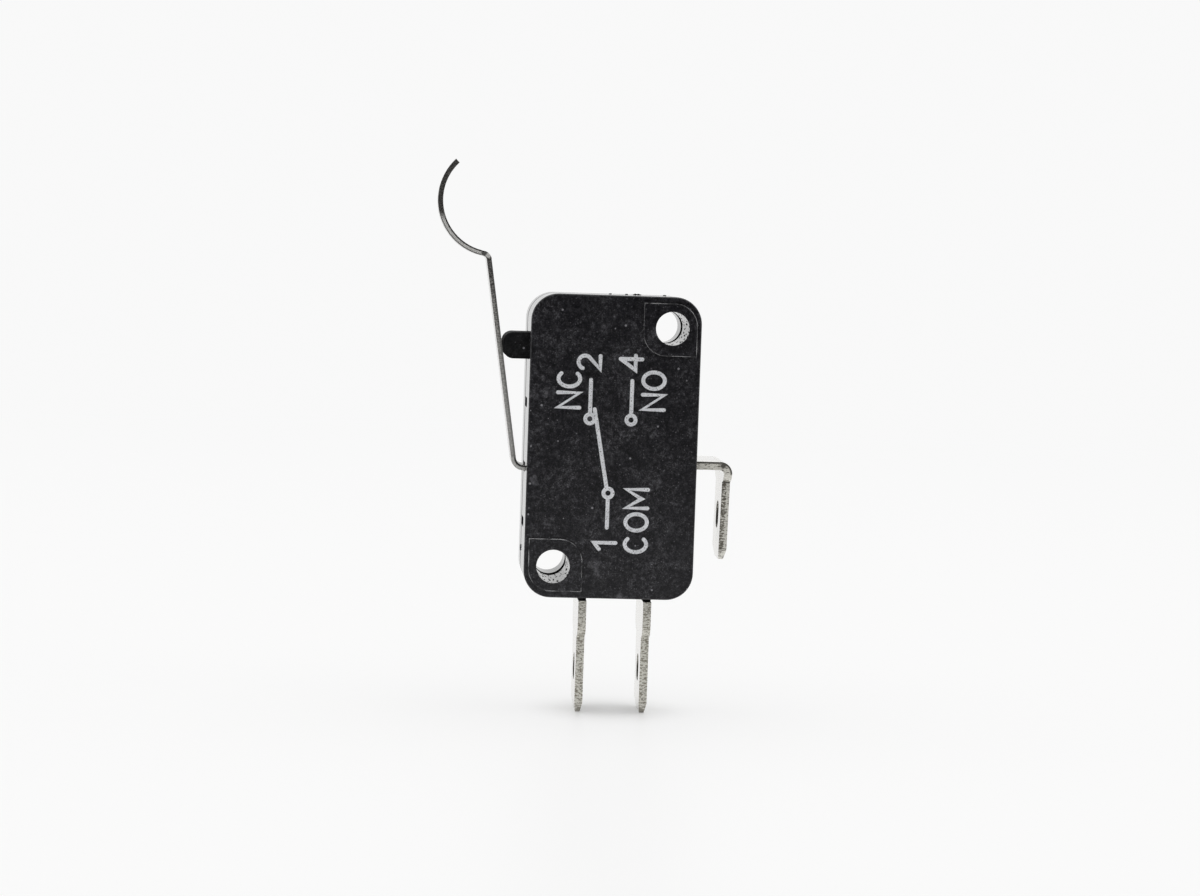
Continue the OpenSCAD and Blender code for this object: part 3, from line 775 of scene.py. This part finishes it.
def terminal_metal():
    """Plated strip with pale, finely torn edges. The walls of the wire holes are painted dark as shade,
    darkest low in each hole, and the tips get more torn, darker grain as painted shade by the floor. The
    waists of the lower tabs, where they leave the wall, are painted as black moulding, which stands for
    the shade under the case."""
    material, tree, shader, place = new_material("terminal_plate")
    at = split(tree, place)
    x, z = at["X"], at["Z"]
    low = ramp(tree, x, *LOWER_TABS)
    tip = product(tree, low, ramp(tree, z, *LOW_TIP))
    bent_clean, dark_lines = bent_tab_marks(tree, x, z)
    clean = total(tree, bent_clean, product(tree, low, LOW_CLEAN))
    # Painted shade by the floor: the lower tabs' tips get more torn, darker grain
    clean = sums(tree, "SUBTRACT", clean, product(tree, tip, TIP_SHADE_TORN))
    torn = tint(tree, low, TORN_BRASS, TORN_PALE)
    strip, corner, normal = cut_strip(tree, place, TAB_CORNER, Face=NICKEL, Cut=SHEARED_NICKEL,
                                      Torn=torn, Grain=TAB_GRAIN, Clean=clean)
    edge = strip["Edge"]
    middle = off(tree, at["Y"], FRONT_Y / 2)
    rise = sums(tree, "SUBTRACT", z, ramp(tree, low, 0.0, 1.0, BENT_END, LOW_END))
    # Painted shade on the walls of the wire holes, darkest in their lower part
    hole_shade = product(tree, edge, ramp(tree, middle, *WIRE_HOLE), ramp(tree, rise, *HOLE_RISE))
    # Painted shade under the case: the lower tabs' waists are tinted black like the moulding, rougher and not
    # metallic
    waist_shade = product(tree, low, ramp(tree, z, *WAIST_SHADE_FOOT), ramp(tree, z, *WAIST_SHADE_TOP))
    tone = tint(tree, product(tree, corner, CORNER_SHARE), strip["Color"], NICKEL)
    tone = tint(tree, product(tree, hole_shade, HOLE_SHADE_SHARE), tone, PAINTED_SHADE_BRASS)
    # The dark lines painted on the bent tab's edge
    tone = tint(tree, product(tree, dark_lines, edge, DARK_LINE_SHARE), tone, PAINTED_SHADE_BRASS)
    tone = tint(tree, waist_shade, tone, CASE_BLACK)
    rough = largest(tree, strip["Roughness"], product(tree, waist_shade, WAIST_SHADE_ROUGH))
    metal = product(tree, ramp(tree, edge, *CUT_METALLIC), sums(tree, "SUBTRACT", 1.0, waist_shade))
    feed(tree, shader, Base_Color=tone, Roughness=rough, Normal=normal, Metallic=metal)
    return material


dress(terminal_metal(), "com_terminal", "no_terminal", "nc_terminal")

# Fixed contacts: silver alloy rivets headed into the two lower terminals. The domes are burnished by the
# heading tool and dulled by the arc.

SILVER = (0.86, 0.845, 0.8, 1.0)
SOOTY_SILVER = (0.42, 0.4, 0.37, 1.0)
BLOOM = (1.1, 5.0, 0.65)
BLOOM_TONE = (0.42, 0.7)
BLOOM_ROUGH = (0.35, 0.7, 0.22, 0.5)
PITS = (12.0, 3.0, 0.6)
PIT_BUMP = 0.5
PIT_DEPTH = 0.01 * MM


def contact_silver():
    """Burnished silver with a dull sooty bloom in patches."""
    material, tree, shader, place = new_material("contact_silver")
    bloom = noise(tree, place, *BLOOM)
    normal = bumped(tree, PIT_BUMP, PIT_DEPTH, noise(tree, place, *PITS))
    tone = tint(tree, ramp(tree, bloom, *BLOOM_TONE), SILVER, SOOTY_SILVER)
    feed(tree, shader, Base_Color=tone, Roughness=ramp(tree, bloom, *BLOOM_ROUGH), Normal=normal,
         Metallic=1.0)
    return material


silver = contact_silver()
dress(silver, "no_contact", "nc_contact")

# Contact arm: the changeover blade, pierced and bent from bare beryllium copper strip, with its
# double-headed silver contact riveted through the free end.

ARM_COPPER = (0.68, 0.43, 0.26, 1.0)
CUT_COPPER = (0.6, 0.36, 0.2, 1.0)
TORN_COPPER = (0.3, 0.16, 0.09, 1.0)
ARM_GRAIN = 8.0
ARM_CORNER = 0.03 * MM
ARM_CORNER_SHARE = 0.35


def arm_metal():
    """Bare copper strip with rolled faces, sheared edges and softened, brighter corners."""
    material, tree, shader, place = new_material("arm_copper")
    strip, corner, normal = cut_strip(tree, place, ARM_CORNER, Face=ARM_COPPER, Cut=CUT_COPPER,
                                      Torn=TORN_COPPER, Grain=ARM_GRAIN, Clean=0.0)
    tone = tint(tree, product(tree, corner, ARM_CORNER_SHARE), strip["Color"], ARM_COPPER)
    feed(tree, shader, Base_Color=tone, Roughness=strip["Roughness"], Normal=normal, Metallic=1.0)
    return material


dress(arm_metal(), "contact_arm")
dress(silver, "moving_contact")

# Snap spring: a close coil of drawn steel wire with a loop at each end. One loop is hooked on the
# plunger's bar and the other on the arm's tongue.

DARK_WIRE = (0.34, 0.345, 0.36, 1.0)
PALE_WIRE = (0.56, 0.56, 0.57, 1.0)
TEMPER = (12.0, 4.0, 0.6)
TEMPER_TONE = (0.3, 0.7)
TEMPER_ROUGH = (0.3, 0.7, 0.3, 0.42)


def spring_wire():
    """Drawn wire with a fine mottle in its light blue-grey temper."""
    material, tree, shader, place = new_material("spring_steel")
    temper = noise(tree, place, *TEMPER)
    tone = tint(tree, ramp(tree, temper, *TEMPER_TONE), DARK_WIRE, PALE_WIRE)
    feed(tree, shader, Base_Color=tone, Roughness=ramp(tree, temper, *TEMPER_ROUGH), Metallic=1.0)
    return material


dress(spring_wire(), "snap_spring")

# Plunger: the push button, moulded in a harder black plastic. It slides in guides in the case, and its
# nose stands out of the side wall, under the lever. Its skin is cleaner than the case's, and duller.

PLUNGER_BLACK = (0.005, 0.005, 0.0054, 1.0)
plunger_plastic = black_moulding("plunger_plastic", PLUNGER_BLACK, FRONT_Y, dust=0.25, rubs=0.3,
                                 edge=0.07 * MM, grain=0.4, dull=0.8)
dress(plunger_plastic, "plunger")

# Lever: a strip of spring-hard stainless steel, sheared to width and bent round at its tip, hung by two
# ears in the housing wall. Its edges are sheared grey, its faces keep the rolling lines.

STAINLESS = (0.6, 0.59, 0.57, 1.0)
SHEARED_STEEL = (0.46, 0.45, 0.42, 1.0)
BRIGHT_STEEL = (0.9, 0.89, 0.86, 1.0)
DARK_STEEL = (0.045, 0.043, 0.04, 1.0)
TORN_STEEL = (0.06, 0.057, 0.052, 1.0)
LEVER_GRAIN = 6.0
LEVER_CLEAN = -0.02
LEVER_CORNER = 0.05 * MM
LEVER_METALLIC = (0.0, 1.0, 1.0, 0.35)

# Places along the lever, then the bands of its marks in Z, across the strip and in distance from a place
hinge = next(joint for joint in frame["joints"] if joint["name"] == "lever_hinge")
HINGE_AT = (hinge["pos_m"][0] / MM, 0.0, hinge["pos_m"][2] / MM)
LEAN = math.radians(8.7)
OUTWARDS = (-math.cos(LEAN), 0.0, -math.sin(LEAN))
LEVER_OUT = 1.84
TIP_AT = (-11.45, 22.33)
TIP_R = 4.95
SPOT_AT = (-11.85, 17.3)
DARK_SPOT_AT = (-12.25, 17.5)
HEEL_AT = (-8.0, -1.37)
UPPER_ARC = (20.3, 21.3)
LOWER_ARC = UPPER_ARC[::-1]
ARC_FOOT = (17.15, 17.4)
ARC_INSIDE = (TIP_R - 0.05, TIP_R - 0.13)
ARC_OUTSIDE = (TIP_R + 0.1, TIP_R + 0.17)
SMALL_SPOT = (0.34, 0.2)
PAINTED_SHADE_FOOT = (13.5, 16.0)
PAINTED_SHADE_TOP = (17.1, 16.9)
STRAIGHT_TOP = (16.9, 16.7)
STRAIGHT_FOOT = (-1.6, -0.9)
STRAIGHT_BRIGHT = (16.5, 0.0, 0.06, 0.58)
STRAIGHT_INSIDE = (LEVER_OUT - 0.05, LEVER_OUT - 0.13)
HEEL = STRAIGHT_FOOT[::-1]
HEEL_INSIDE = (0.95, 0.87)
ARC_BRIGHT = 0.9
UPPER_DARK = 0.75
OUTSIDE_DARK = 0.7
INSIDE_DARK = 0.45
PAINTED_SHADE_DARK = 0.6
DARK_SPOT_SHARE = 0.85
CORNER_DARK = 0.6


def lever_metal():
    """Stainless strip whose cut edge changes along its length. It is bright at the heel, less and less
    up the straight, then on the tip's lower arc and at a spot by the reverse bend. It is dark on the
    upper arc, along both rims of the lower arc, along the inside of the straight and the heel, and at a
    spot by the reverse bend. A stretch at the top of the straight is painted darker as shade."""
    material, tree, shader, place = new_material("lever_steel")
    at = split(tree, place)
    z = at["Z"]
    flat = flatten(tree, at["X"], z)
    radius = apart(tree, flat, TIP_AT)
    arm = put(tree, "VectorMath", {0: flat, 1: HINGE_AT}, operation="SUBTRACT").outputs[0]
    out = put(tree, "VectorMath", {0: arm, 1: OUTWARDS}, operation="DOT_PRODUCT").outputs["Value"]
    lower_arc = product(tree, ramp(tree, z, *LOWER_ARC), ramp(tree, z, *ARC_FOOT))
    straight = product(tree, ramp(tree, z, *STRAIGHT_TOP), ramp(tree, z, *STRAIGHT_FOOT))
    heel = ramp(tree, z, *HEEL)
    bright = largest(
        tree,
        product(tree, lower_arc, ARC_BRIGHT),
        ramp(tree, apart(tree, flat, SPOT_AT), *SMALL_SPOT),
        product(tree, straight, ramp(tree, z, *STRAIGHT_BRIGHT)),
        heel,
    )
    dark = largest(
        tree,
        product(tree, ramp(tree, z, *UPPER_ARC), UPPER_DARK),
        product(tree, lower_arc, ramp(tree, radius, *ARC_INSIDE)),
        product(tree, lower_arc, ramp(tree, radius, *ARC_OUTSIDE), OUTSIDE_DARK),
        product(tree, ramp(tree, apart(tree, flat, DARK_SPOT_AT), *SMALL_SPOT), DARK_SPOT_SHARE),
        # Painted shade: a darker stretch at the top of the straight
        product(tree, ramp(tree, z, *PAINTED_SHADE_FOOT), ramp(tree, z, *PAINTED_SHADE_TOP), PAINTED_SHADE_DARK),
        product(tree, straight, ramp(tree, out, *STRAIGHT_INSIDE), INSIDE_DARK),
        product(tree, heel, ramp(tree, apart(tree, flat, HEEL_AT), *HEEL_INSIDE)),
    )
    strip, corner, normal = cut_strip(tree, place, LEVER_CORNER, Face=STAINLESS, Cut=SHEARED_STEEL,
                                      Torn=TORN_STEEL, Grain=LEVER_GRAIN, Clean=LEVER_CLEAN)
    edge = strip["Edge"]
    tone = tint(tree, product(tree, bright, edge), strip["Color"], BRIGHT_STEEL)
    tone = tint(tree, product(tree, dark, edge), tone, DARK_STEEL)
    tone = tint(tree, product(tree, corner, CORNER_DARK), tone, DARK_STEEL)
    feed(tree, shader, Base_Color=tone, Roughness=strip["Roughness"], Normal=normal,
         Metallic=ramp(tree, edge, *LEVER_METALLIC))
    return material


dress(lever_metal(), "lever")

# Floor: a wide sheet of white card under soft light from all round. The camera and reflections see it
# nearly white, by a glow that is weak at the foot of the lower tabs, where it keeps the part's shadow,
# and grows away from there.

CARD_REACH = 3.0
CARD_FRONT = 0.13
CARD_WHITE = (0.88, 0.88, 0.875, 1.0)
CARD_ROUGH = 0.4
CARD_SPECULAR = 0.3
TENT_WHITE = (0.945, 0.945, 0.945, 1.0)
GLOW_AT_FOOT = 0.2
GLOW_NEAR = 0.7
NEAR_SPAN = (2.0, 9.0)
FAR_SPAN = (60.0, 400.0)
floor_z = cad_box[0].z
FOOT_AT = (0.8, -5.15, floor_z / MM)


def backdrop_rays(tree):
    """Mask of the rays that see the backdrop: from the camera, off a shiny surface or through a clear
    one."""
    path = put(tree, "LightPath").outputs
    return largest(tree, path["Is Camera Ray"], path["Is Glossy Ray"], path["Is Transmission Ray"])


def card_material():
    """White card that takes the shadow, under a glow that only the backdrop's rays see."""
    material, tree, shader, place = new_material("white_card")
    feed(tree, shader, Base_Color=CARD_WHITE, Roughness=CARD_ROUGH, Specular_IOR_Level=CARD_SPECULAR)
    distance = put(tree, "VectorMath", {0: place, 1: FOOT_AT}, operation="DISTANCE").outputs["Value"]
    share = total(tree, ramp(tree, distance, *NEAR_SPAN, GLOW_AT_FOOT, GLOW_NEAR),
                  ramp(tree, distance, *FAR_SPAN, 0.0, 1.0 - GLOW_NEAR))
    share = product(tree, backdrop_rays(tree), share)
    glow = put(tree, "Emission", {"Color": TENT_WHITE}).outputs[0]
    blend = put(tree, "MixShader", {0: share, 1: shader.outputs[0], 2: glow}).outputs[0]
    join(tree, tree.nodes["Material Output"].inputs["Surface"], blend)
    return material


floor_mesh = bpy.data.meshes.new("floor")
corners = [
    (-CARD_REACH, -CARD_FRONT, floor_z),
    (CARD_REACH, -CARD_FRONT, floor_z),
    (CARD_REACH, CARD_REACH, floor_z),
    (-CARD_REACH, CARD_REACH, floor_z),
]
floor_mesh.from_pydata(corners, [], [(0, 1, 2, 3)])
floor_mesh.materials.append(card_material())
floor = bpy.data.objects.new("floor", floor_mesh)
bpy.context.scene.collection.objects.link(floor)

# Light: a white tent all round the part, open and dark towards the camera, and one broad soft lamp
# overhead. The far wall gives little light to dull surfaces, but the camera and reflections see it white.

TENT_BACK = (0.25, 0.25, 0.25, 1.0)
TENT_MOUTH = (0.03, 0.03, 0.032, 1.0)
BACK_SPAN = (0.2, 0.65)
MOUTH_SPAN = (-0.2, -0.65)
LAMP_STRENGTH = 1.75
LAMP_SPREAD = math.radians(100)
world = bpy.data.worlds.new("tent")
bpy.context.scene.world = world
world.use_nodes = True
sky = world.node_tree
toward = split(sky, put(sky, "TexCoord").outputs["Generated"])["Y"]
not_camera = sums(sky, "SUBTRACT", 1.0, put(sky, "LightPath").outputs["Is Camera Ray"])
mouth = product(sky, ramp(sky, toward, *MOUTH_SPAN), not_camera)
walls = tint(sky, ramp(sky, toward, *BACK_SPAN), TENT_WHITE, TENT_BACK)
walls = tint(sky, backdrop_rays(sky), walls, TENT_WHITE)
join(sky, sky.nodes["Background"].inputs["Color"], tint(sky, mouth, walls, TENT_MOUTH))

lamp = bpy.data.lights.new("soft_lamp", "SUN")
lamp.energy = LAMP_STRENGTH
lamp.angle = LAMP_SPREAD
holder = bpy.data.objects.new("soft_lamp", lamp)
bpy.context.scene.collection.objects.link(holder)

# Camera: a short telephoto about a quarter of a metre in front of the part, a little to its left and
# above it. The focal length is in pixels of a picture 1200 wide.

CAMERA_AT = Vector((-19.9, -242.4, 17.3)) * MM
YAW = math.radians(4.61)
PITCH = math.radians(4.26)
ROLL = math.radians(1.92)
PICTURE_W = 1200
FOCAL_PX = 2542
SENSOR_W = 36.0
NEAR_CLIP = 0.01
lens = bpy.data.cameras.new("camera")
lens.sensor_width = SENSOR_W
lens.lens = SENSOR_W * FOCAL_PX / PICTURE_W
lens.clip_start = NEAR_CLIP
camera = bpy.data.objects.new("camera", lens)
ahead = Vector((math.sin(YAW) * math.cos(PITCH), math.cos(YAW) * math.cos(PITCH), -math.sin(PITCH)))
level = Vector((math.cos(YAW), -math.sin(YAW), 0))
above = level.cross(ahead)
right = level * math.cos(ROLL) + above * math.sin(ROLL)
top = above * math.cos(ROLL) - level * math.sin(ROLL)
turn = Matrix((right, top, -ahead)).transposed().to_4x4()
camera.matrix_world = Matrix.Translation(CAMERA_AT) @ turn
bpy.context.scene.collection.objects.link(camera)
bpy.context.scene.camera = camera
bpy.context.scene.view_settings.view_transform = "Standard"
